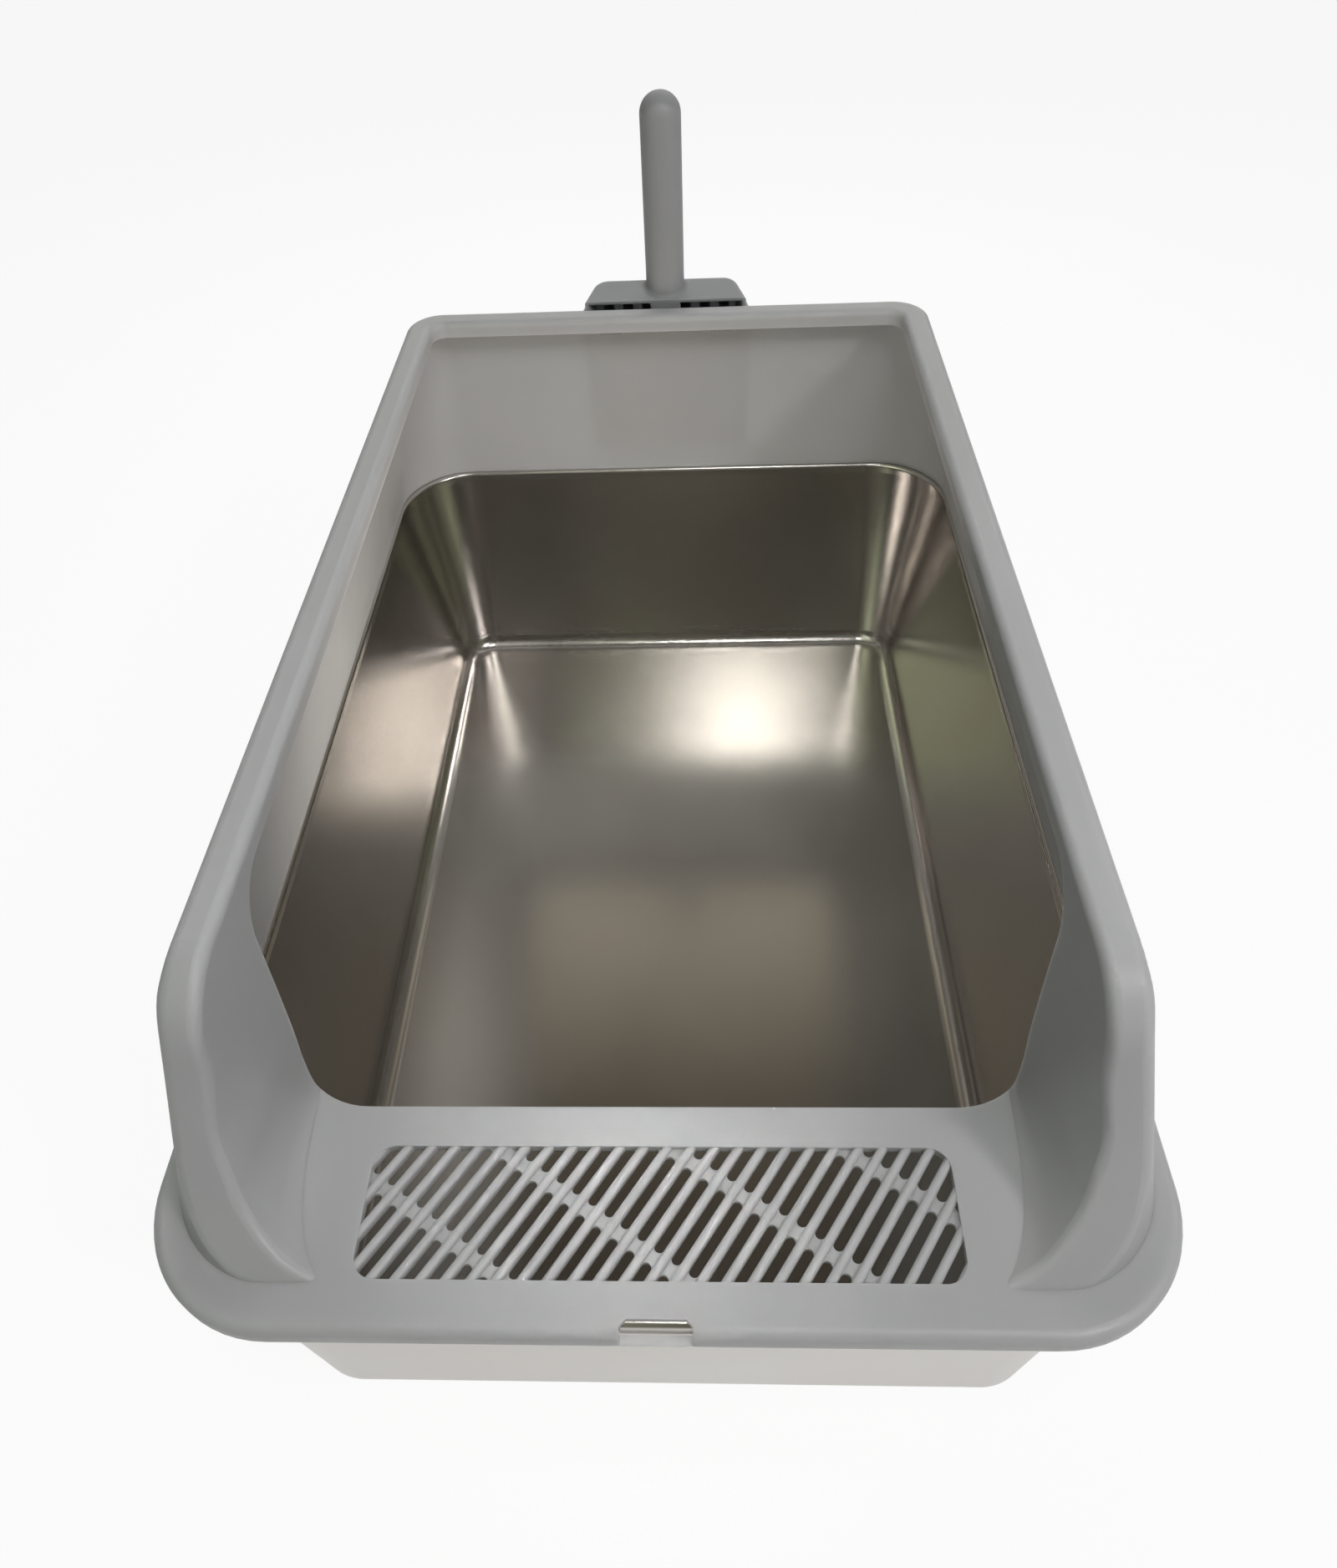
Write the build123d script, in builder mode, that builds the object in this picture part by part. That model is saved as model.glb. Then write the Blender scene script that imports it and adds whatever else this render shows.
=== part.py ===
from build123d import *
import math
import os

# Litter tray: a drawn steel pan, a high-sided moulded enclosure with a slatted front step
# that sits over the pan's rim, and a scoop that stands in a holder hung on the back wall.
# Millimetres. +Z is up, -Y is the front where the animal steps in, +X is to the right.
# The origin is the centre of the pan's underside, on the floor.

# Steel pan
pan_height = 154.0
pan_opening_width = 376.0
pan_opening_length = 571.0
pan_opening_corner = 48.0
pan_side_taper = 20.0
pan_end_taper = 12.0
pan_floor_corner = 22.0
pan_floor_round = 10.0
steel_thickness = 0.8
rim_width = 9.0
rim_drop = 6.5
rim_outer_round = 3.0
rim_inner_round = 2.5

# Enclosure moulding
skin = 2.5
seat_gap = 0.3
skirt_gap = 1.5
skirt_depth = 7.2
flange_corner = 56.0
flange_round = 4.5
wall_gap = 1.5
wall_rise = 129.0
wall_lean = 33.5
wall_front_margin = 17.0
wall_base_corner = 48.0
wall_top_corner = 20.0
band_width = 14.0
band_back_corner = 9.0
band_outer_round = 5.0
band_inner_round = 4.0
lip_depth = 9.5
lip_turn_radius = 25.0
lip_setback = 104.9
lip_foot_shift = 11.2

# Front end of the side walls, seen from the side
shoulder_setback = 83.5
shoulder_radius = 28.0
nose_mid_drop = 61.0
nose_mid_step = 3.0
nose_low_drop = 89.0
nose_low_step = 10.0
nose_foot_drop = 110.0
nose_foot_step = 21.0
nose_end_step = 37.5
facing_share = 0.05

# Mouth between the two front buttresses. Each level's side line leaves the wall, bows out and
# ends at the reach, in front of the buttress: the toe turns in and fades out on the deck.
# Bows, bellies and reaches are measured outwards from the walls' inner line.
mouth_flare_setback = 113.5
mouth_flare_bend = 55.0
mouth_end_setback = 8.5
mouth_skin_share = 2.0
deck_bow = -1.5
deck_belly = -0.5
deck_belly_pull = 6.0
deck_reach = -38.5
toe_rise = 4.0
toe_bow = 3.0
toe_belly = 5.0
toe_belly_pull = 7.0
toe_reach = -27.0
ankle_rise = 9.5
ankle_bow = 5.0
ankle_belly = 8.5
ankle_belly_pull = 9.0
ankle_reach = -14.5
shin_rise = 19.0
shin_bow = 5.5
shin_belly = 12.5
shin_belly_pull = 14.0
shin_reach = 5.5
knee_rise = 31.0
knee_bow = 3.5
knee_belly = 14.5
knee_belly_pull = 22.0
knee_reach = 27.5
chest_rise = 55.0
chest_bow = 0.5
chest_belly = 11.5
chest_belly_pull = 34.0
chest_reach = 59.5
neck_rise = 88.0
neck_bow = 0.0
neck_belly = 5.5
neck_belly_pull = 35.0
neck_reach = 35.5
crown_rise = 109.0
crown_bow = 0.0
crown_belly = 2.5
crown_belly_pull = 35.0
crown_reach = 18.5
brow_bow = 0.0
brow_belly = 1.0
brow_belly_pull = 35.0
brow_reach = 5.5

# Front step and its grate
step_rear_setback = 88.4
step_side_margin = 13.0
step_corner = 36.0
grate_length = 231.0
grate_depth = 52.0
grate_setback = 45.5
grate_corner = 9.0
slat_angle = 34.0
slat_pitch = 7.95
slat_width = 3.7
slat_recess = 0.4
link_pitch = 38.9
link_width = 5.0
link_thickness = 2.0
link_shift = 4.75

# Snap window at the middle of the front edge
snap_width = 27.0
snap_depth = 6.5
snap_ledge = 1.1
snap_bevel = 2.5
snap_nose = 1.1

# Scoop holder, hooked on the outside of the back wall
holder_skin = 2.2
holder_side_gap = 0.8
holder_foot_rise = 20.0
holder_height = 108.0
holder_inner_depth = 22.3
holder_corner = 12.5
holder_edge_round = 1.6
hook_width = 14.0
hook_spacing = 70.0
hook_rise = 122.0
hook_thickness = 2.0
hook_drop = 4.5
hook_gap = 0.3
hook_wall_allowance = 0.9
drain_length = 14.0
drain_width = 6.0
drain_spacing = 32.0

# Scoop
blade_width = 100.4
blade_far_width = 85.2
blade_top_rise = 136.0
blade_thickness = 2.4
blade_gap = 0.5
blade_toe = 14.0
scoop_wall = 2.4
scoop_wall_height = 20.4
scoop_wall_toe = 6.0
scoop_wall_run = 22.0
scoop_corner = 10.0
scoop_brow_round = 2.0
scoop_slot_count = 8
scoop_slot_width = 5.8
scoop_slot_pitch = 12.3
scoop_slot_length = 92.0
scoop_slot_top = 10.0
scoop_slot_drop = 16.0
scoop_slot_reach = 12.0
handle_width = 23.6
handle_depth = 17.0
handle_tip_height = 400.5
handle_front_round = 11.4
handle_back_round = 5.0
handle_setback = 21.1
handle_foot_sink = 2.0
handle_root_width = 18.5
handle_root_length = 15.0
handle_base_round = 3.0

# One overrun serves every cut, and one small reach finds edges by their place
overrun = 20.0
edge_reach = 0.3

# Levels and half sizes that follow
rim_top = pan_height
rim_half_width = pan_opening_width / 2 + rim_width
rim_half_length = pan_opening_length / 2 + rim_width
deck_under = rim_top + seat_gap
deck_top = deck_under + skin
skirt_bottom = deck_under - skirt_depth
flange_half_width = rim_half_width + skirt_gap + skin
flange_half_length = rim_half_length + skirt_gap + skin
wall_half_width = pan_opening_width / 2 + wall_gap + skin
wall_back = pan_opening_length / 2 + wall_gap + skin
wall_front = flange_half_length - wall_front_margin
band_top = deck_top + wall_rise
top_half_width = wall_half_width - wall_lean
top_back = wall_back - wall_lean
top_front = wall_front - wall_lean
band_half_width = top_half_width - band_width
band_back = top_back - band_width
lip_bottom = band_top - lip_depth
wall_angle = math.degrees(math.atan2(wall_lean, wall_rise))
wall_slope = wall_lean / wall_rise
shoulder_start = flange_half_length - shoulder_setback
lip_front = flange_half_length - lip_setback
mouth_flare_start = flange_half_length - mouth_flare_setback
mouth_end = flange_half_length - mouth_end_setback
step_rear = flange_half_length - step_rear_setback
grate_centre = flange_half_length - grate_setback


def outline(half_width, front, back, corner):
    with Locations((0, (back - front) / 2)):
        RectangleRounded(2 * half_width, back + front, corner)


# The back wall's outer face, with its own up direction, for the holder and the scoop
back_face = Plane(
    origin=(0, wall_back, deck_top),
    x_dir=(-1, 0, 0),
    z_dir=(0, math.cos(math.radians(wall_angle)), math.sin(math.radians(wall_angle))),
)


# Steel pan: tapered tub with a rounded floor edge
with BuildPart() as pan_inside:
    with BuildSketch(Plane.XY.offset(steel_thickness)):
        RectangleRounded(
            pan_opening_width - 2 * pan_side_taper,
            pan_opening_length - 2 * pan_end_taper,
            pan_floor_corner,
        )
    with BuildSketch(Plane.XY.offset(pan_height - rim_drop)):
        RectangleRounded(pan_opening_width, pan_opening_length, pan_opening_corner)
    loft()
    fillet(pan_inside.faces().sort_by(Axis.Z)[0].edges(), pan_floor_round)

# The space under the rolled rim
with BuildPart() as rim_channel:
    with BuildSketch(Plane.XY.offset(pan_height - rim_drop - overrun)):
        RectangleRounded(
            pan_opening_width + 2 * (rim_width - steel_thickness),
            pan_opening_length + 2 * (rim_width - steel_thickness),
            pan_opening_corner + rim_width - steel_thickness,
        )
        RectangleRounded(
            pan_opening_width + 2 * steel_thickness,
            pan_opening_length + 2 * steel_thickness,
            pan_opening_corner + steel_thickness,
            mode=Mode.SUBTRACT,
        )
    extrude(amount=rim_drop + overrun - steel_thickness)
    channel_top = rim_channel.faces().sort_by(Axis.Z)[-1]
    fillet(channel_top.outer_wire().edges(), rim_outer_round - steel_thickness)
    fillet(
        rim_channel.faces().sort_by(Axis.Z)[-1].inner_wires()[0].edges(),
        rim_inner_round - steel_thickness,
    )

with BuildPart() as rim_ring:
    with BuildSketch(Plane.XY.offset(pan_height - rim_drop)):
        RectangleRounded(
            2 * rim_half_width, 2 * rim_half_length, pan_opening_corner + rim_width
        )
        RectangleRounded(
            pan_opening_width, pan_opening_length, pan_opening_corner, mode=Mode.SUBTRACT
        )
    extrude(amount=rim_drop)
    fillet(rim_ring.faces().sort_by(Axis.Z)[-1].outer_wire().edges(), rim_outer_round)
    fillet(
        rim_ring.faces().sort_by(Axis.Z)[-1].inner_wires()[0].edges(), rim_inner_round
    )
    add(rim_channel.part, mode=Mode.SUBTRACT)

with BuildPart() as steel_pan:
    with BuildSketch():
        RectangleRounded(
            pan_opening_width - 2 * pan_side_taper + 2 * steel_thickness,
            pan_opening_length - 2 * pan_end_taper + 2 * steel_thickness,
            pan_floor_corner + steel_thickness,
        )
    with BuildSketch(Plane.XY.offset(pan_height - rim_drop)):
        RectangleRounded(
            pan_opening_width + 2 * steel_thickness,
            pan_opening_length + 2 * steel_thickness,
            pan_opening_corner + steel_thickness,
        )
    loft()
    fillet(
        steel_pan.faces().sort_by(Axis.Z)[0].edges(), pan_floor_round + steel_thickness
    )
    add(pan_inside.part, mode=Mode.SUBTRACT)
    add(rim_ring.part)

steel_pan.part.label = "steel_pan"


# Enclosure: the mouth and main opening as one space, drawn level by level
def mouth_section(level, bow, belly, belly_pull, reach, grow):
    side = band_half_width + grow
    back = band_back + grow
    corner = band_back_corner + grow
    bow = side + bow
    belly = side + belly
    reach = band_half_width + reach + grow * mouth_skin_share
    with BuildSketch(Plane.XY.offset(level)) as section:
        with BuildLine():
            Line((corner - side, back), (side - corner, back))
            RadiusArc((side - corner, back), (side, back - corner), corner)
            Line((side, back - corner), (side, -mouth_flare_start))
            Bezier(
                (side, -mouth_flare_start),
                (bow, -mouth_flare_start - mouth_flare_bend),
                (belly, belly_pull - mouth_end),
                (reach, -mouth_end),
            )
            Line((reach, -mouth_end), (-reach, -mouth_end))
            Bezier(
                (-reach, -mouth_end),
                (-belly, belly_pull - mouth_end),
                (-bow, -mouth_flare_start - mouth_flare_bend),
                (-side, -mouth_flare_start),
            )
            Line((-side, -mouth_flare_start), (-side, back - corner))
            RadiusArc((-side, back - corner), (corner - side, back), corner)
        make_face()
    return section.sketch


def mouth_sections(grow):
    under = skirt_bottom - overrun
    over = band_top + overrun
    toe = deck_top + toe_rise
    ankle = deck_top + ankle_rise
    shin = deck_top + shin_rise
    knee = deck_top + knee_rise
    chest = deck_top + chest_rise
    neck = deck_top + neck_rise
    crown = deck_top + crown_rise
    return [
        mouth_section(under, deck_bow, deck_belly, deck_belly_pull, deck_reach, grow),
        mouth_section(deck_top, deck_bow, deck_belly, deck_belly_pull, deck_reach, grow),
        mouth_section(toe, toe_bow, toe_belly, toe_belly_pull, toe_reach, grow),
        mouth_section(ankle, ankle_bow, ankle_belly, ankle_belly_pull, ankle_reach, grow),
        mouth_section(shin, shin_bow, shin_belly, shin_belly_pull, shin_reach, grow),
        mouth_section(knee, knee_bow, knee_belly, knee_belly_pull, knee_reach, grow),
        mouth_section(chest, chest_bow, chest_belly, chest_belly_pull, chest_reach, grow),
        mouth_section(neck, neck_bow, neck_belly, neck_belly_pull, neck_reach, grow),
        mouth_section(crown, crown_bow, crown_belly, crown_belly_pull, crown_reach, grow),
        mouth_section(band_top, brow_bow, brow_belly, brow_belly_pull, brow_reach, grow),
        mouth_section(over, brow_bow, brow_belly, brow_belly_pull, brow_reach, grow),
    ]


# Side view of the space in front of the walls: a shoulder, a steep nose and a running-out foot
def nose_sketch(shift):
    nose_y = -(shoulder_start + shoulder_radius) + shift
    top = band_top - shift
    with BuildSketch(Plane.YZ) as nose:
        with BuildLine():
            l1 = Line((-shoulder_start + shift, top + overrun), (-shoulder_start + shift, top))
            l2 = RadiusArc(l1 @ 1, (nose_y, top - shoulder_radius), -shoulder_radius)
            l3 = Spline(
                l2 @ 1,
                (nose_y - nose_mid_step, band_top - nose_mid_drop),
                (nose_y - nose_low_step, band_top - nose_low_drop),
                (nose_y - nose_foot_step, band_top - nose_foot_drop),
                (nose_y - nose_end_step, deck_top - shift),
                tangents=[l2 % 1, (-1, -1)],
            )
            l4 = Line(l3 @ 1, (-flange_half_length - overrun, deck_top - shift))
            l5 = Line(l4 @ 1, (-flange_half_length - overrun, band_top + overrun))
            Line(l5 @ 1, l1 @ 0)
        make_face()
    return nose.sketch


with BuildPart() as mouth_space:
    loft(sections=mouth_sections(0))

with BuildPart() as nose_space:
    extrude(nose_sketch(0), amount=flange_half_width + overrun, both=True)

# The walls as a solid block with a rounded band along their top and front ends
with BuildPart() as wall_block:
    with BuildSketch(Plane.XY.offset(deck_top)):
        outline(wall_half_width, wall_front, wall_back, wall_base_corner)
    with BuildSketch(Plane.XY.offset(band_top)):
        outline(top_half_width, top_front, top_back, wall_top_corner)
    loft()
    add(nose_space.part, mode=Mode.SUBTRACT)
    add(mouth_space.part, mode=Mode.SUBTRACT)
    band_faces = wall_block.faces().filter_by(Axis.Z).group_by(Axis.Z)[-1]
    band_faces += [
        face
        for face in wall_block.faces()
        if abs(face.normal_at().X) < facing_share
        and face.center().Y < -shoulder_start
        and face.center().Z > deck_top + skin
    ]
    all_band_edges = [edge for face in band_faces for edge in face.edges()]
    band_edges = [
        edge
        for edge in all_band_edges
        if all_band_edges.count(edge) == 1 and (edge @ 0.5).Z > deck_top + skin
    ]
    outer_edges = [
        edge
        for edge in band_edges
        if abs((edge @ 0.5).X)
        > wall_half_width - ((edge @ 0.5).Z - deck_top) * wall_slope - band_width / 2
        or (edge @ 0.5).Y > top_back - band_width / 2
    ]
    inner_edges = [edge for edge in band_edges if edge not in outer_edges]
    fillet(outer_edges, band_outer_round)
    fillet(inner_edges, band_inner_round)

# Above and in front of the lip's lower edge the skin is closed, elsewhere the walls are open
with BuildPart() as mouth_skin:
    loft(sections=mouth_sections(skin))
    with BuildSketch(Plane.YZ):
        with BuildLine():
            lip = Line(
                (wall_back + overrun, lip_bottom), (lip_turn_radius - lip_front, lip_bottom)
            )
            turn = RadiusArc(
                lip @ 1, (-lip_front, lip_bottom - lip_turn_radius), -lip_turn_radius
            )
            foot = Line(turn @ 1, (-lip_front - lip_foot_shift, skirt_bottom - overrun))
            under = Line(foot @ 1, (-flange_half_length - overrun, skirt_bottom - overrun))
            front = Line(under @ 1, (-flange_half_length - overrun, band_top + overrun))
            over = Line(front @ 1, (wall_back + overrun, band_top + overrun))
            Line(over @ 1, lip @ 0)
        make_face()
    extrude(amount=flange_half_width + overrun, both=True, mode=Mode.INTERSECT)

with BuildPart() as nose_skin:
    extrude(nose_sketch(skin), amount=flange_half_width + overrun, both=True)

# The space inside the double walls, open to the pan below
with BuildPart() as wall_hollow:
    with BuildSketch(Plane.XY.offset(deck_top)):
        outline(
            wall_half_width - skin,
            wall_front - skin,
            wall_back - skin,
            wall_base_corner - skin,
        )
    with BuildSketch(Plane.XY.offset(band_top - skin)):
        outline(
            top_half_width - skin, top_front - skin, top_back - skin, wall_top_corner - skin
        )
    loft()
    with BuildSketch(Plane.XY.offset(skirt_bottom - overrun)):
        outline(
            wall_half_width - skin,
            wall_front - skin,
            wall_back - skin,
            wall_base_corner - skin,
        )
    extrude(amount=deck_top - skirt_bottom + overrun)
    add(nose_skin.part, mode=Mode.SUBTRACT)
    add(mouth_skin.part, mode=Mode.SUBTRACT)

# Grate: a sheet of links with rounded gaps, and round-topped slats across it
across = (math.cos(math.radians(slat_angle)), -math.sin(math.radians(slat_angle)), 0)
against = (-math.sin(math.radians(slat_angle)), -math.cos(math.radians(slat_angle)), 0)
grate_span = math.hypot(grate_length, grate_depth)
slat_count = 2 * math.ceil(grate_span / slat_pitch / 2)
gap_rows = 2 * math.ceil(grate_span / link_pitch / 2) + 1
slat_foot = deck_under - link_thickness
slat_top = deck_top - slat_recess

with BuildSketch(Plane.XY.offset(slat_foot)) as grate_gaps:
    with Locations(Location((0, -grate_centre, 0), (0, 0, -slat_angle))):
        with Locations((0, link_shift)):
            with GridLocations(slat_pitch, link_pitch, slat_count + 1, gap_rows):
                SlotOverall(link_pitch - link_width, slat_pitch - slat_width, rotation=90)
    with Locations((0, -grate_centre)):
        RectangleRounded(grate_length, grate_depth, grate_corner, mode=Mode.INTERSECT)

with BuildPart() as grate_slats:
    with BuildSketch(Plane(origin=(0, -grate_centre, slat_foot), x_dir=across, z_dir=against)):
        with GridLocations(slat_pitch, 0, slat_count, 1):
            with Locations((0, (slat_top - slat_foot - slat_width / 2) / 2)):
                Rectangle(slat_width, slat_top - slat_foot - slat_width / 2)
            with Locations((0, slat_top - slat_foot - slat_width / 2)):
                Circle(slat_width / 2)
    extrude(amount=grate_span, both=True)
    with BuildSketch(Plane.XY.offset(slat_foot)):
        with Locations((0, -grate_centre)):
            RectangleRounded(grate_length + skin, grate_depth + skin, grate_corner)
    extrude(amount=slat_top - slat_foot, mode=Mode.INTERSECT)

# The hooks' slots through the back wall
with BuildPart() as hook_slots:
    with BuildSketch(back_face):
        with Locations((0, hook_rise + hook_thickness / 2)):
            with GridLocations(hook_spacing, 0, 2, 1):
                Rectangle(hook_width + 2 * hook_gap, hook_thickness + 2 * hook_gap)
    extrude(amount=overrun / 2, both=True)

# Enclosure: flange, walls, front step and grate in one moulding
with BuildPart() as enclosure:
    with BuildSketch(Plane.XY.offset(skirt_bottom)):
        RectangleRounded(2 * flange_half_width, 2 * flange_half_length, flange_corner)
    extrude(amount=deck_top - skirt_bottom)
    fillet(enclosure.faces().sort_by(Axis.Z)[-1].edges(), flange_round)
    add(wall_block.part)
    with BuildSketch(Plane.XY.offset(skirt_bottom - overrun)):
        RectangleRounded(
            2 * (flange_half_width - skin),
            2 * (flange_half_length - skin),
            flange_corner - skin,
        )
    extrude(amount=deck_under - skirt_bottom + overrun, mode=Mode.SUBTRACT)
    add(wall_hollow.part, mode=Mode.SUBTRACT)
    add(hook_slots.part, mode=Mode.SUBTRACT)
    with BuildSketch(Plane.XY.offset(skirt_bottom - overrun)):
        outline(band_half_width + step_side_margin, step_rear, 0, step_corner)
    extrude(amount=deck_top - skirt_bottom + overrun, mode=Mode.SUBTRACT)
    with BuildSketch(Plane.XY.offset(deck_under)):
        with Locations((0, -grate_centre)):
            RectangleRounded(grate_length, grate_depth, grate_corner)
    extrude(amount=skin, mode=Mode.SUBTRACT)
    with BuildSketch(Plane.XY.offset(slat_foot)):
        with Locations((0, -grate_centre)):
            RectangleRounded(grate_length + 2 * skin, grate_depth + 2 * skin, grate_corner)
        add(grate_gaps.sketch, mode=Mode.SUBTRACT)
    extrude(amount=link_thickness)
    add(grate_slats.part)
    with BuildSketch(Plane.XY.offset(skirt_bottom + snap_ledge)):
        with BuildLine():
            Polyline(
                (-snap_width / 2, -flange_half_length - overrun),
                (snap_width / 2, -flange_half_length - overrun),
                (snap_width / 2, snap_depth - snap_bevel - flange_half_length),
                (snap_width / 2 - snap_bevel, snap_depth - flange_half_length),
                (snap_bevel - snap_width / 2, snap_depth - flange_half_length),
                (-snap_width / 2, snap_depth - snap_bevel - flange_half_length),
                close=True,
            )
        make_face()
    extrude(amount=deck_top - skirt_bottom, mode=Mode.SUBTRACT)
    with BuildSketch(Plane.XY.offset(skirt_bottom)):
        with Locations((0, skin + snap_nose / 2 - flange_half_length)):
            Rectangle(snap_width, snap_nose)
    extrude(amount=snap_ledge)

enclosure.part.label = "enclosure"

# Scoop holder: a tall open pocket that hooks through the back wall
holder_depth = holder_inner_depth + 2 * holder_skin
hook_inset = skin + hook_wall_allowance
holder_plan = Plane(origin=back_face.origin, x_dir=back_face.x_dir, z_dir=back_face.y_dir)
upward = Axis(back_face.origin, back_face.y_dir)


# The plan that the holder and the scoop share: it narrows away from the wall. Its sizes are
# the blade's, grown on each side, between two distances from the wall.
def tub_plan(rise, grow, near, far, corner):
    with BuildSketch(holder_plan.offset(rise)) as tub:
        with BuildLine():
            Polyline(
                (-blade_width / 2 - grow, -near),
                (-blade_far_width / 2 - grow, -far),
                (blade_far_width / 2 + grow, -far),
                (blade_width / 2 + grow, -near),
                close=True,
            )
        make_face()
        fillet(tub.vertices().group_by(Axis.Y)[0], corner)
    return tub.sketch


with BuildPart() as scoop_holder:
    extrude(
        tub_plan(
            holder_foot_rise, holder_side_gap + holder_skin, 0, holder_depth, holder_corner
        ),
        amount=holder_height,
    )
    fillet(scoop_holder.faces().sort_by(upward)[0].edges(), holder_edge_round)
    extrude(
        tub_plan(
            holder_foot_rise + holder_skin,
            holder_side_gap,
            holder_skin,
            holder_skin + holder_inner_depth,
            holder_corner - holder_skin,
        ),
        amount=holder_height,
        mode=Mode.SUBTRACT,
    )
    with BuildSketch(holder_plan):
        with Locations((0, -holder_skin - holder_inner_depth / 2)):
            with GridLocations(drain_spacing, 0, 3, 1):
                SlotOverall(drain_length, drain_width)
    extrude(amount=holder_foot_rise + holder_skin, mode=Mode.SUBTRACT)
    with BuildSketch(back_face):
        with GridLocations(hook_spacing, 0, 2, 1):
            with Locations((0, hook_rise + hook_thickness / 2)):
                Rectangle(hook_width, hook_thickness)
    extrude(amount=-hook_inset - hook_thickness)
    with BuildSketch(back_face.offset(-hook_inset)):
        with GridLocations(hook_spacing, 0, 2, 1):
            with Locations((0, hook_rise - hook_drop / 2)):
                Rectangle(hook_width, hook_drop)
    extrude(amount=-hook_thickness)

scoop_holder.part.label = "scoop_holder"

# Scoop, toe down in the pocket: a blade on the far side, walls towards the enclosure
blade_foot_rise = holder_foot_rise + holder_skin + seat_gap
blade_length = blade_top_rise - blade_foot_rise
blade_front = holder_skin + blade_gap
blade_far = blade_front + scoop_wall_height
blade_face = back_face.offset(blade_front)
scoop_side = Plane(origin=blade_face.origin, x_dir=blade_face.y_dir, z_dir=blade_face.x_dir)
slot_top_rise = blade_top_rise - scoop_slot_top
handle_centre_y = wall_back - handle_setback


# Where an edge's middle lies: its height along the back wall, and how far out from it
def wall_height_of(edge):
    return ((edge @ 0.5) - back_face.origin).dot(back_face.y_dir)


def outward_of(edge):
    return ((edge @ 0.5) - back_face.origin).dot(back_face.z_dir)


# The scoop's grip: upright, with a domed tip, a round front and a flatter back
with BuildPart() as scoop_grip:
    with BuildSketch(Plane.XZ.offset(-handle_centre_y)):
        with Locations((0, (handle_tip_height + deck_top) / 2)):
            SlotOverall(handle_tip_height - deck_top, handle_width, rotation=90)
    extrude(amount=handle_depth / 2, both=True)
    fillet(scoop_grip.faces().group_by(Axis.Y)[0].edges(), handle_front_round)
    fillet(scoop_grip.faces().group_by(Axis.Y)[-1].edges(), handle_back_round)
    with BuildSketch(holder_plan.offset(blade_top_rise - handle_foot_sink)):
        Rectangle(blade_width, 2 * blade_width)
    extrude(amount=handle_tip_height, mode=Mode.INTERSECT)

with BuildPart() as scoop:
    extrude(
        tub_plan(blade_foot_rise, 0, blade_front, blade_far, scoop_corner),
        amount=blade_length,
    )
    with BuildSketch(blade_face) as scoop_front:
        with Locations((0, blade_foot_rise + (blade_length + overrun) / 2)):
            Rectangle(blade_far_width, blade_length + overrun)
        fillet(scoop_front.vertices().group_by(Axis.Y)[0], blade_toe)
        with Locations((0, blade_top_rise)):
            Rectangle(blade_width, 2 * (blade_length - blade_toe))
    extrude(amount=scoop_wall_height, mode=Mode.INTERSECT)
    extrude(
        tub_plan(
            blade_foot_rise - overrun,
            -scoop_wall,
            blade_front,
            blade_far - blade_thickness,
            scoop_corner - scoop_wall,
        ),
        amount=blade_length - scoop_wall + overrun,
        mode=Mode.SUBTRACT,
    )
    with BuildSketch(scoop_side):
        with BuildLine():
            Polyline(
                (blade_foot_rise - overrun, -overrun),
                (blade_foot_rise - overrun, scoop_wall_height - scoop_wall_toe),
                (blade_foot_rise, scoop_wall_height - scoop_wall_toe),
                (blade_top_rise - scoop_wall_run, 0),
                (blade_top_rise - scoop_wall_run, -overrun),
                close=True,
            )
        make_face()
    extrude(amount=blade_width, both=True, mode=Mode.SUBTRACT)
    with BuildSketch(back_face.offset(blade_far - scoop_slot_reach)):
        for index in range(scoop_slot_count):
            step = index - (scoop_slot_count - 1) / 2
            drop = scoop_slot_drop if abs(step) < 1 else 0
            slot_length = scoop_slot_length - drop
            slot_centre = slot_top_rise - drop - slot_length / 2
            with Locations((step * scoop_slot_pitch, slot_centre)):
                SlotOverall(slot_length, scoop_slot_width, rotation=90)
    extrude(amount=scoop_slot_reach, mode=Mode.SUBTRACT)
    with BuildSketch(holder_plan.offset(blade_top_rise - handle_root_length)):
        with Locations((0, -(blade_front + blade_far) / 2)):
            Rectangle(handle_root_width, scoop_wall_height)
    extrude(amount=handle_root_length)
    brow_edges = [
        edge
        for edge in scoop.edges()
        if wall_height_of(edge) > blade_top_rise - edge_reach
        and outward_of(edge) > blade_front + edge_reach
    ]
    fillet(brow_edges, scoop_brow_round)
    add(scoop_grip.part)
    grip_edges = [
        edge
        for edge in scoop.edges()
        if abs(wall_height_of(edge) - blade_top_rise) < edge_reach
        and abs((edge @ 0.5).X) < handle_width / 2 + edge_reach
        and outward_of(edge) > blade_front + edge_reach
        and outward_of(edge) < blade_far - scoop_brow_round - edge_reach
    ]
    fillet(grip_edges, handle_base_round)

scoop.part.label = "scoop"

os.makedirs("parts", exist_ok=True)
export_step(steel_pan.part, "parts/steel_pan.step")
export_step(enclosure.part, "parts/enclosure.step")
export_step(scoop_holder.part, "parts/scoop_holder.step")
export_step(scoop.part, "parts/scoop.step")
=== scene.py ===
import math

import bmesh
import bpy
from mathutils import Matrix, Vector

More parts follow.
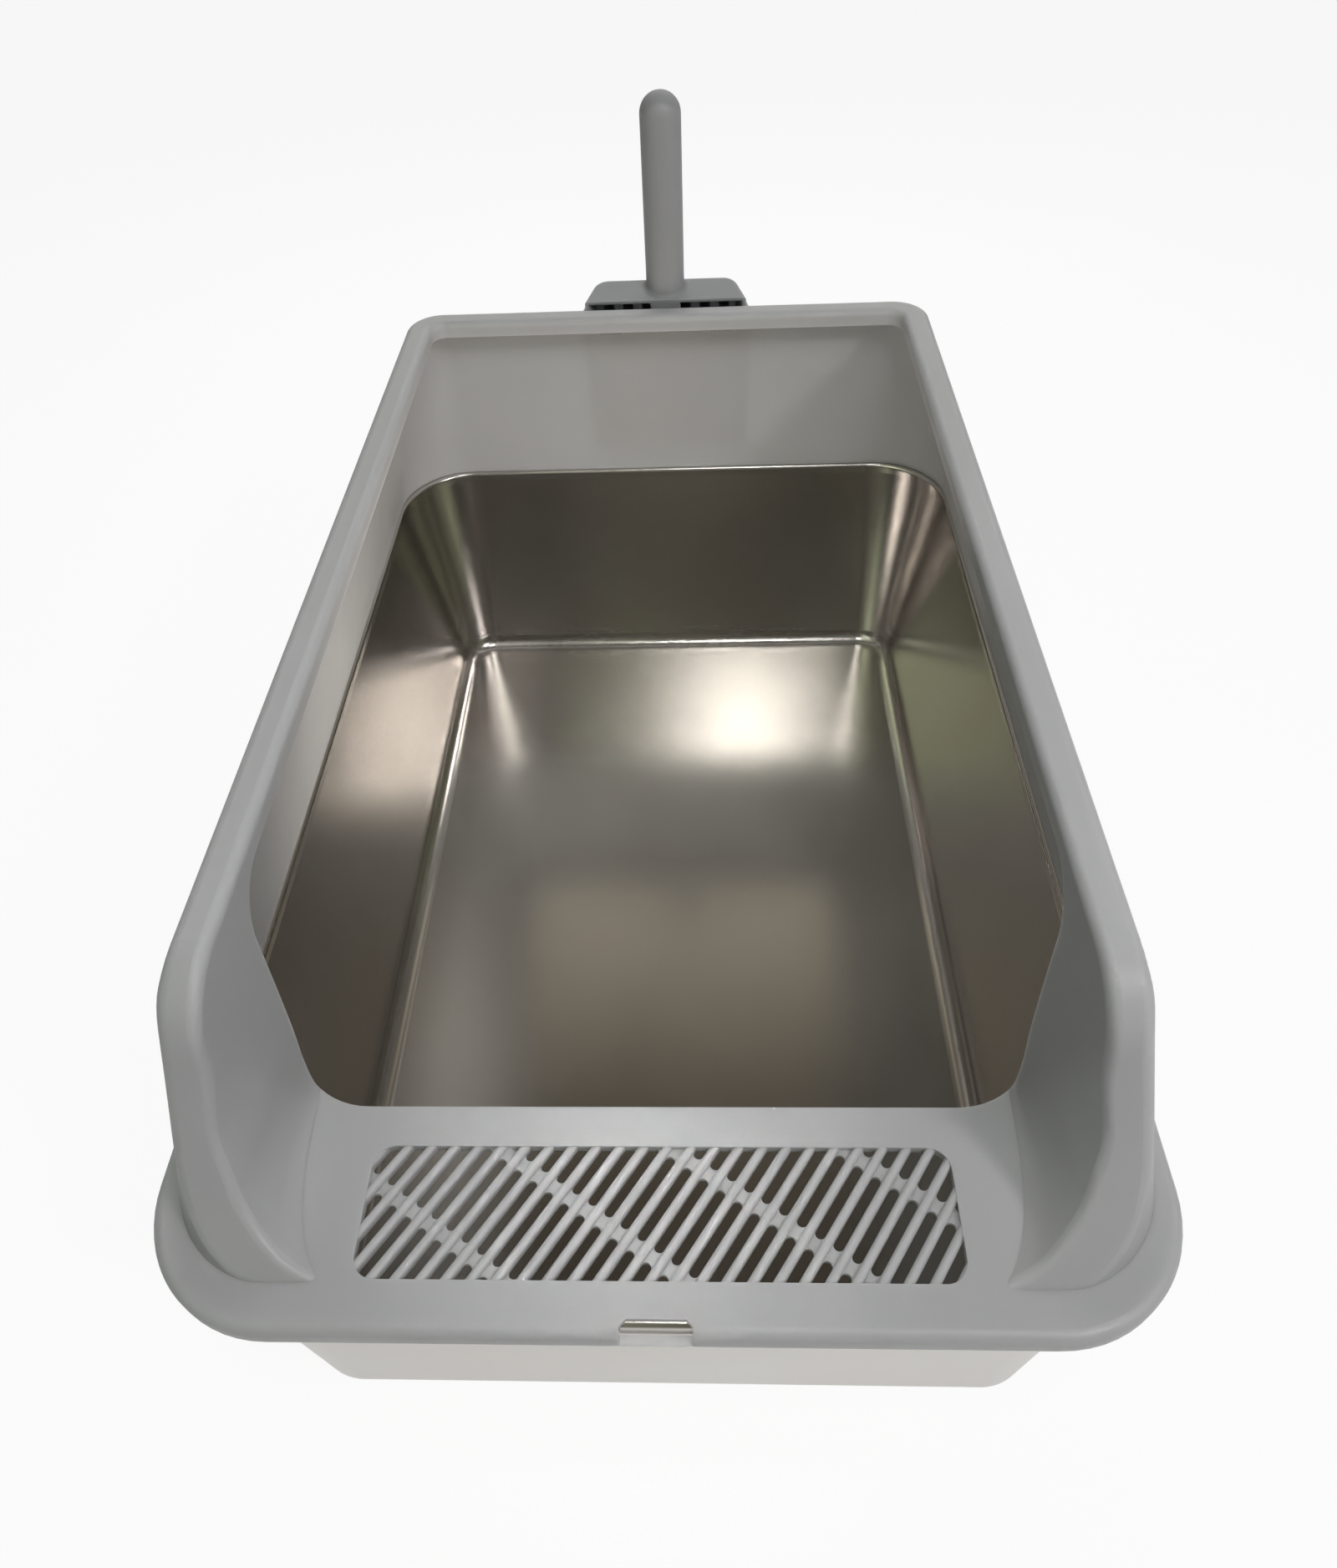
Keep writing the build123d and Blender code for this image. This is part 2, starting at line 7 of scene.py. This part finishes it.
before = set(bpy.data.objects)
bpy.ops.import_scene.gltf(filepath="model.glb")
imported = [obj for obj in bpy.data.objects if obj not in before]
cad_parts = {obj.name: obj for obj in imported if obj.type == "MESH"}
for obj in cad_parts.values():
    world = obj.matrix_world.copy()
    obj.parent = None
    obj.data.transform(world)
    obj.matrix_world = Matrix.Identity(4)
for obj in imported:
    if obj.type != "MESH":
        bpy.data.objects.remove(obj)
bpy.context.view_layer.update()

# The litter tray's finishes, its studio and the photograph's camera. Every shape comes from the
# solids. Lengths are in metres, lamps in watts, and noise runs in waves per metre.

# Most of a noise lies between these two values
NOISE_LOW = 0.3
NOISE_HIGH = 0.7

# Light grey moulding of the enclosure, and the slightly darker one of the scoop and its holder
ENCLOSURE_TONE = (0.47, 0.475, 0.475)
ENCLOSURE_SHADE = (0.445, 0.45, 0.45)
SCOOP_TONE = (0.365, 0.37, 0.375)
SCOOP_SHADE = (0.345, 0.35, 0.355)
MOULDING_IOR = 1.48
MOULDING_ROUGHNESS_LOW = 0.39
MOULDING_ROUGHNESS_HIGH = 0.45
MOULDING_GLOW_SHARE = 1.0
MOULDING_GLOW_DEPTH = 0.006
MOULDING_GLOW_COLOURS = (1.0, 1.0, 1.0)
MOULDING_CLOUD_WAVES = 9.0
MOULDING_CLOUD_DETAIL = 4.0
MOULDING_FLOW_WAVES = (40.0, 40.0, 6.0)
MOULDING_FLOW_DETAIL = 2.0
MOULDING_GRAIN_WAVES = 2600.0
MOULDING_GRAIN_DETAIL = 2.0
MOULDING_GRAIN_STRENGTH = 0.10
MOULDING_GRAIN_DEPTH = 0.0002

# Satin drawn steel of the pan, with faint draw marks low on its rear wall
STEEL_TONE = (0.61, 0.59, 0.555)
STEEL_SHADE = (0.55, 0.525, 0.49)
STEEL_ROUGHNESS_LOW = 0.215
STEEL_ROUGHNESS_HIGH = 0.24
STEEL_CLOUD_WAVES = 7.0
STEEL_CLOUD_DETAIL = 4.0
ROLLING_WAVES = (14.0, 14.0, 1100.0)
ROLLING_DETAIL = 3.0
ROLLING_ROUGHNESS = 0.01
ROLLING_STRENGTH = 0.015
ROLLING_DEPTH = 0.0002
DENT_WAVES = (9.0, 9.0, 16.0)
DENT_DETAIL = 1.0
DENT_STRENGTH = 0.05
DENT_DEPTH = 0.003
DRAW_MARK_TONE = (0.40, 0.38, 0.36)
DRAW_MARK_SHARE = 0.4
DRAW_MARK_ROUGHNESS = 0.1
DRAW_MARK_WAVES = (16.0, 90.0, 260.0)
DRAW_MARK_DETAIL = 4.0
DRAW_MARK_FINENESS = 0.6
DRAW_MARK_START = 0.52
DRAW_MARK_FULL = 0.72
DRAW_MARK_FULL_HEIGHT = 0.014
DRAW_MARK_TOP = 0.034
DRAW_MARK_FRONT = 0.255
DRAW_MARK_REAR = 0.272

# Pale floor, which reaches far past the frame and lies just under the pan
FLOOR_HALF_WIDTH = 12.0
FLOOR_DROP = 0.0005
FLOOR_TONE = (0.9, 0.9, 0.9, 1.0)
FLOOR_SEEN_WHITE = 0.92
FLOOR_MIRRORED_WHITE = 0.5

# The room that the steel mirrors. A direction's height is 0 at the horizon and 1 straight up,
# its X is positive to the right and its Y to the rear.
WHITE = (1.0, 1.0, 1.0, 1.0)
FRONT_HORIZON = (0.6, 0.6, 0.6)
FRONT_WALL = (0.085, 0.07, 0.056)
FRONT_HORIZON_TOP = 0.02
FRONT_WALL_FOOT = 0.3
CEILING_BRIGHT = (0.60, 0.555, 0.465)
CEILING_DIM = (0.068, 0.056, 0.041)
CEILING_DARK = (0.038, 0.031, 0.023)
CEILING_SIDES = (0.15, 0.134, 0.114)
CEILING_BRIGHT_TOP = 0.79
CEILING_DIM_FOOT = 0.875
CEILING_DIM_TOP = 0.88
CEILING_DARK_FOOT = 0.94
CEILING_SIDE_START = 0.29
CEILING_SIDE_FULL = 0.45
FRONT_END = 0.0
CEILING_START = 0.2
LEFT_GLOW = (0.60, 0.64, 0.50)
LEFT_GLOW_FULL_X = -0.40
LEFT_GLOW_END_X = 0.0
LEFT_GLOW_FULL_Y = -0.50
LEFT_GLOW_END_Y = -0.10

# Soft light from the room: little from the front, more from behind
SOFT_FRONT = (0.015, 0.016, 0.016)
SOFT_REAR = (0.26, 0.27, 0.27)
SOFT_REAR_START = 0.05
SOFT_REAR_FULL = 0.55

# Camera fitted to the photograph. Its focal length and shifts are in pixels of the image,
# whose longer side, the height, takes the sensor's width.
CAMERA_PLACE = (0.018469, -0.421962, 0.583652)
CAMERA_RIGHT = (0.99894509, 0.02237003, -0.04010353)
CAMERA_UP = (0.01149418, 0.72371471, 0.69000355)
CAMERA_AHEAD = (-0.04445892, 0.68973662, -0.72269413)
IMAGE_HEIGHT = 1876
FOCAL_PIXELS = 1317.367
SHIFT_X_PIXELS = 20.518
SHIFT_Y_PIXELS = -22.513
SENSOR_WIDTH = 36.0
NEAR_CLIP = 0.01

# Half a turn, the widest that a lamp's light spreads, in degrees
FULL_SPREAD = 180


# ---- node helpers ----
def new_material(name):
    material = bpy.data.materials.new(name)
    material.use_nodes = True
    tree = material.node_tree
    tree.nodes.clear()
    output = tree.nodes.new("ShaderNodeOutputMaterial")
    return material, tree, output


def add_node(tree, kind, settings=None, values=None, links=None):
    node = tree.nodes.new(kind)
    for key, value in (settings or {}).items():
        setattr(node, key, value)
    for key, value in (values or {}).items():
        node.inputs[key].default_value = value
    for key, source in (links or {}).items():
        tree.links.new(source, node.inputs[key])
    return node


def noise(tree, vector, waves, detail):
    node = add_node(
        tree, "ShaderNodeTexNoise",
        values={"Scale": waves, "Detail": detail},
        links={"Vector": vector},
    )
    return node.outputs["Fac"]


def stretched_noise(tree, coords, waves, detail, fineness=0.5):
    mapping = add_node(
        tree, "ShaderNodeMapping", values={"Scale": waves}, links={"Vector": coords}
    )
    node = add_node(
        tree, "ShaderNodeTexNoise",
        values={"Scale": 1.0, "Detail": detail, "Roughness": fineness},
        links={"Vector": mapping.outputs["Vector"]},
    )
    return node.outputs["Fac"]


def ranged(tree, value, low, high, to_low, to_high):
    node = add_node(
        tree, "ShaderNodeMapRange",
        values={"From Min": low, "From Max": high, "To Min": to_low, "To Max": to_high},
        links={"Value": value},
    )
    return node.outputs["Result"]


def rising(tree, value, low, high):
    return ranged(tree, value, low, high, 0.0, 1.0)


def falling(tree, value, low, high):
    return ranged(tree, value, low, high, 1.0, 0.0)


def swung(tree, wave, to_low, to_high):
    return ranged(tree, wave, NOISE_LOW, NOISE_HIGH, to_low, to_high)


# Both ends of the blend take a colour or the output of another node
def blended(tree, factor, first, second):
    node = add_node(tree, "ShaderNodeMix", settings={"data_type": "RGBA"})
    tree.links.new(factor, node.inputs["Factor"])
    for socket, value in (("A", first), ("B", second)):
        target = [s for s in node.inputs if s.name == socket and s.type == "RGBA"][0]
        if isinstance(value, tuple):
            target.default_value = (*value, 1)
        else:
            tree.links.new(value, target)
    return [s for s in node.outputs if s.type == "RGBA"][0]


def worked(tree, operation, first, second):
    node = add_node(tree, "ShaderNodeMath", settings={"operation": operation})
    for slot, value in enumerate((first, second)):
        if isinstance(value, (int, float)):
            node.inputs[slot].default_value = value
        else:
            tree.links.new(value, node.inputs[slot])
    return node.outputs[0]


def product(tree, first, second):
    return worked(tree, "MULTIPLY", first, second)


def total(tree, first, second):
    return worked(tree, "ADD", first, second)


def bumped(tree, height, strength, distance, normal=None):
    node = add_node(
        tree, "ShaderNodeBump",
        values={"Strength": strength, "Distance": distance},
        links={"Height": height},
    )
    if normal is not None:
        tree.links.new(normal, node.inputs["Normal"])
    return node.outputs["Normal"]


def mixed_shaders(tree, factor, first, second):
    node = add_node(tree, "ShaderNodeMixShader", links={0: factor})
    tree.links.new(first, node.inputs[1])
    tree.links.new(second, node.inputs[2])
    return node.outputs[0]


# ---- finishes ----
def moulded_plastic(name, tone, shade):
    material, tree, output = new_material(name)
    coords = add_node(tree, "ShaderNodeTexCoord").outputs["Object"]
    cloud = noise(tree, coords, MOULDING_CLOUD_WAVES, MOULDING_CLOUD_DETAIL)
    colour = blended(tree, swung(tree, cloud, 0.0, 1.0), shade, tone)
    grain = noise(tree, coords, MOULDING_GRAIN_WAVES, MOULDING_GRAIN_DETAIL)
    flow = stretched_noise(tree, coords, MOULDING_FLOW_WAVES, MOULDING_FLOW_DETAIL)
    surface = add_node(
        tree, "ShaderNodeBsdfPrincipled",
        values={
            "IOR": MOULDING_IOR,
            "Subsurface Weight": MOULDING_GLOW_SHARE,
            "Subsurface Scale": MOULDING_GLOW_DEPTH,
            "Subsurface Radius": MOULDING_GLOW_COLOURS,
        },
        links={
            "Base Color": colour,
            "Roughness": swung(tree, flow, MOULDING_ROUGHNESS_LOW, MOULDING_ROUGHNESS_HIGH),
            "Normal": bumped(tree, grain, MOULDING_GRAIN_STRENGTH, MOULDING_GRAIN_DEPTH),
        },
    )
    tree.links.new(surface.outputs[0], output.inputs["Surface"])
    return material


def drawn_steel(name):
    material, tree, output = new_material(name)
    coords = add_node(tree, "ShaderNodeTexCoord").outputs["Object"]
    place = add_node(tree, "ShaderNodeSeparateXYZ", links={0: coords}).outputs
    rolled = stretched_noise(tree, coords, ROLLING_WAVES, ROLLING_DETAIL)
    cloud = noise(tree, coords, STEEL_CLOUD_WAVES, STEEL_CLOUD_DETAIL)
    dent = stretched_noise(tree, coords, DENT_WAVES, DENT_DETAIL)
    streak = stretched_noise(
        tree, coords, DRAW_MARK_WAVES, DRAW_MARK_DETAIL, DRAW_MARK_FINENESS
    )
    low = falling(tree, place["Z"], DRAW_MARK_FULL_HEIGHT, DRAW_MARK_TOP)
    rear = rising(tree, place["Y"], DRAW_MARK_FRONT, DRAW_MARK_REAR)
    marked = rising(tree, streak, DRAW_MARK_START, DRAW_MARK_FULL)
    drawn = product(tree, product(tree, low, rear), marked)
    satin = blended(tree, swung(tree, cloud, 0.0, 1.0), STEEL_SHADE, STEEL_TONE)
    colour = blended(tree, product(tree, drawn, DRAW_MARK_SHARE), satin, DRAW_MARK_TONE)
    rough = swung(tree, cloud, STEEL_ROUGHNESS_LOW, STEEL_ROUGHNESS_HIGH)
    rough = total(tree, rough, swung(tree, rolled, 0.0, ROLLING_ROUGHNESS))
    rough = total(tree, rough, product(tree, drawn, DRAW_MARK_ROUGHNESS))
    dented = bumped(tree, dent, DENT_STRENGTH, DENT_DEPTH)
    surface = add_node(
        tree, "ShaderNodeBsdfPrincipled",
        values={"Metallic": 1.0},
        links={
            "Base Color": colour,
            "Roughness": rough,
            "Normal": bumped(tree, rolled, ROLLING_STRENGTH, ROLLING_DEPTH, dented),
        },
    )
    tree.links.new(surface.outputs[0], output.inputs["Surface"])
    return material


def dress(node, material):
    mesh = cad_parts[node].data
    mesh.materials.clear()
    mesh.materials.append(material)


# ---- floor, light and camera ----
# White to the camera and through glass, half as bright in a mirror, and matt to all other rays,
# so that it takes the object's shadow
def pale_floor():
    mesh = bpy.data.meshes.new("studio_floor")
    builder = bmesh.new()
    bmesh.ops.create_grid(builder, x_segments=1, y_segments=1, size=FLOOR_HALF_WIDTH)
    builder.to_mesh(mesh)
    builder.free()
    floor = bpy.data.objects.new("studio_floor", mesh)
    bpy.context.scene.collection.objects.link(floor)
    material, tree, output = new_material("pale_floor")
    path = add_node(tree, "ShaderNodeLightPath").outputs
    direct = worked(tree, "MAXIMUM", path["Is Camera Ray"], path["Is Transmission Ray"])
    seen = worked(
        tree, "MAXIMUM",
        product(tree, direct, FLOOR_SEEN_WHITE),
        product(tree, path["Is Glossy Ray"], FLOOR_MIRRORED_WHITE),
    )
    matt = add_node(tree, "ShaderNodeBsdfDiffuse", values={"Color": FLOOR_TONE})
    white = add_node(tree, "ShaderNodeEmission", values={"Color": WHITE, "Strength": 1.0})
    surface = mixed_shaders(tree, seen, matt.outputs[0], white.outputs[0])
    tree.links.new(surface, output.inputs["Surface"])
    mesh.materials.append(material)
    floor.location.z = -FLOOR_DROP


# What the steel mirrors, by direction: a dim wall in front, a bright strip of ceiling behind
# that darkens upwards and to the sides, and a greenish glow at the front left
def mirrored_room(tree, toward):
    height = toward["Z"]
    ahead = blended(
        tree, rising(tree, height, FRONT_HORIZON_TOP, FRONT_WALL_FOOT), FRONT_HORIZON, FRONT_WALL
    )
    ceiling = blended(
        tree, rising(tree, height, CEILING_BRIGHT_TOP, CEILING_DIM_FOOT),
        CEILING_BRIGHT, CEILING_DIM,
    )
    ceiling = blended(
        tree, rising(tree, height, CEILING_DIM_TOP, CEILING_DARK_FOOT), ceiling, CEILING_DARK
    )
    sideways = worked(tree, "ABSOLUTE", toward["X"], 0.0)
    ceiling = blended(
        tree, rising(tree, sideways, CEILING_SIDE_START, CEILING_SIDE_FULL),
        ceiling, CEILING_SIDES,
    )
    room = blended(tree, rising(tree, toward["Y"], FRONT_END, CEILING_START), ahead, ceiling)
    front_left = product(
        tree,
        falling(tree, toward["X"], LEFT_GLOW_FULL_X, LEFT_GLOW_END_X),
        falling(tree, toward["Y"], LEFT_GLOW_FULL_Y, LEFT_GLOW_END_Y),
    )
    return blended(tree, front_left, room, LEFT_GLOW)


def studio_world():
    world = bpy.data.worlds.new("studio")
    bpy.context.scene.world = world
    world.use_nodes = True
    tree = world.node_tree
    tree.nodes.clear()
    output = tree.nodes.new("ShaderNodeOutputWorld")
    path = add_node(tree, "ShaderNodeLightPath").outputs
    direction = add_node(tree, "ShaderNodeTexCoord").outputs["Generated"]
    toward = add_node(tree, "ShaderNodeSeparateXYZ", links={0: direction}).outputs
    soft = blended(
        tree, rising(tree, toward["Y"], SOFT_REAR_START, SOFT_REAR_FULL), SOFT_FRONT, SOFT_REAR
    )
    light = add_node(
        tree, "ShaderNodeBackground", values={"Strength": 1.0}, links={"Color": soft}
    )
    mirrored = add_node(
        tree, "ShaderNodeBackground",
        values={"Strength": 1.0},
        links={"Color": mirrored_room(tree, toward)},
    )
    white = add_node(
        tree, "ShaderNodeBackground", values={"Color": WHITE, "Strength": 1.0}
    )
    reflected = worked(tree, "MAXIMUM", path["Is Glossy Ray"], path["Is Transmission Ray"])
    surface = mixed_shaders(tree, reflected, light.outputs[0], mirrored.outputs[0])
    surface = mixed_shaders(tree, path["Is Camera Ray"], surface, white.outputs[0])
    tree.links.new(surface, output.inputs["Surface"])


def soft_lamp(
    name, place, aim, size, power, tint=(1.0, 1.0, 1.0), mirrored=True, spread=FULL_SPREAD
):
    lamp = bpy.data.lights.new(name, "AREA")
    lamp.shape = "RECTANGLE"
    lamp.size, lamp.size_y = size
    lamp.energy = power
    lamp.color = tint
    lamp.spread = math.radians(spread)
    holder = bpy.data.objects.new(name, lamp)
    bpy.context.scene.collection.objects.link(holder)
    holder.location = place
    holder.visible_glossy = mirrored
    direction = Vector(aim) - Vector(place)
    holder.rotation_euler = direction.to_track_quat("-Z", "Y").to_euler()


def photo_camera():
    data = bpy.data.cameras.new("photo_camera")
    camera = bpy.data.objects.new("photo_camera", data)
    bpy.context.scene.collection.objects.link(camera)
    turn = Matrix(
        (Vector(CAMERA_RIGHT), Vector(CAMERA_UP), -Vector(CAMERA_AHEAD))
    ).transposed()
    camera.matrix_world = Matrix.Translation(CAMERA_PLACE) @ turn.to_4x4()
    data.sensor_width = SENSOR_WIDTH
    data.lens = SENSOR_WIDTH * FOCAL_PIXELS / IMAGE_HEIGHT
    data.shift_x = SHIFT_X_PIXELS / IMAGE_HEIGHT
    data.shift_y = SHIFT_Y_PIXELS / IMAGE_HEIGHT
    data.clip_start = NEAR_CLIP
    bpy.context.scene.camera = camera


enclosure_plastic = moulded_plastic("light_grey_moulding", ENCLOSURE_TONE, ENCLOSURE_SHADE)
scoop_plastic = moulded_plastic("scoop_moulding", SCOOP_TONE, SCOOP_SHADE)
steel = drawn_steel("satin_drawn_steel")

dress("steel_pan", steel)
dress("enclosure", enclosure_plastic)
dress("scoop_holder", scoop_plastic)
dress("scoop", scoop_plastic)

pale_floor()
studio_world()

# The lamps with their highlights in the steel, and the fills, which the steel doesn't mirror
soft_lamp(
    "key_right", place=(0.95, -0.90, 1.35), aim=(0.0, 0.0, 0.15),
    size=(0.26, 0.26), power=8.4, tint=(1.0, 0.965, 0.99),
)
soft_lamp(
    "ceiling_lamp", place=(0.11, -0.507, 1.20), aim=(0.0, 0.0, 0.1),
    size=(0.18, 0.20), power=2.0,
)
soft_lamp(
    "ceiling_glow", place=(0.20, -0.55, 1.22), aim=(0.0, 0.0, 0.1),
    size=(0.4, 0.4), power=2.6, mirrored=False,
)
soft_lamp(
    "behind", place=(0.0, 1.05, 0.95), aim=(0.0, 0.28, 0.25),
    size=(0.9, 0.5), power=5.5, mirrored=False,
)
soft_lamp(
    "step_fill", place=(-0.02, -0.225, 1.0), aim=(-0.01, -0.225, 0.16),
    size=(0.10, 0.03), power=0.032, mirrored=False, spread=15,
)
soft_lamp(
    "window_left", place=(-0.57, -0.88, 1.13), aim=(0.0, 0.1, 0.2),
    size=(0.5, 0.5), power=0.9, tint=(0.85, 1.0, 0.72),
)
soft_lamp(
    "bounce", place=(0.0, -0.02, 0.125), aim=(-0.13, 0.19, 0.23),
    size=(0.12, 0.12), power=0.39, tint=(1.0, 0.93, 0.85), mirrored=False,
)

photo_camera()
bpy.context.scene.view_settings.view_transform = "Standard"
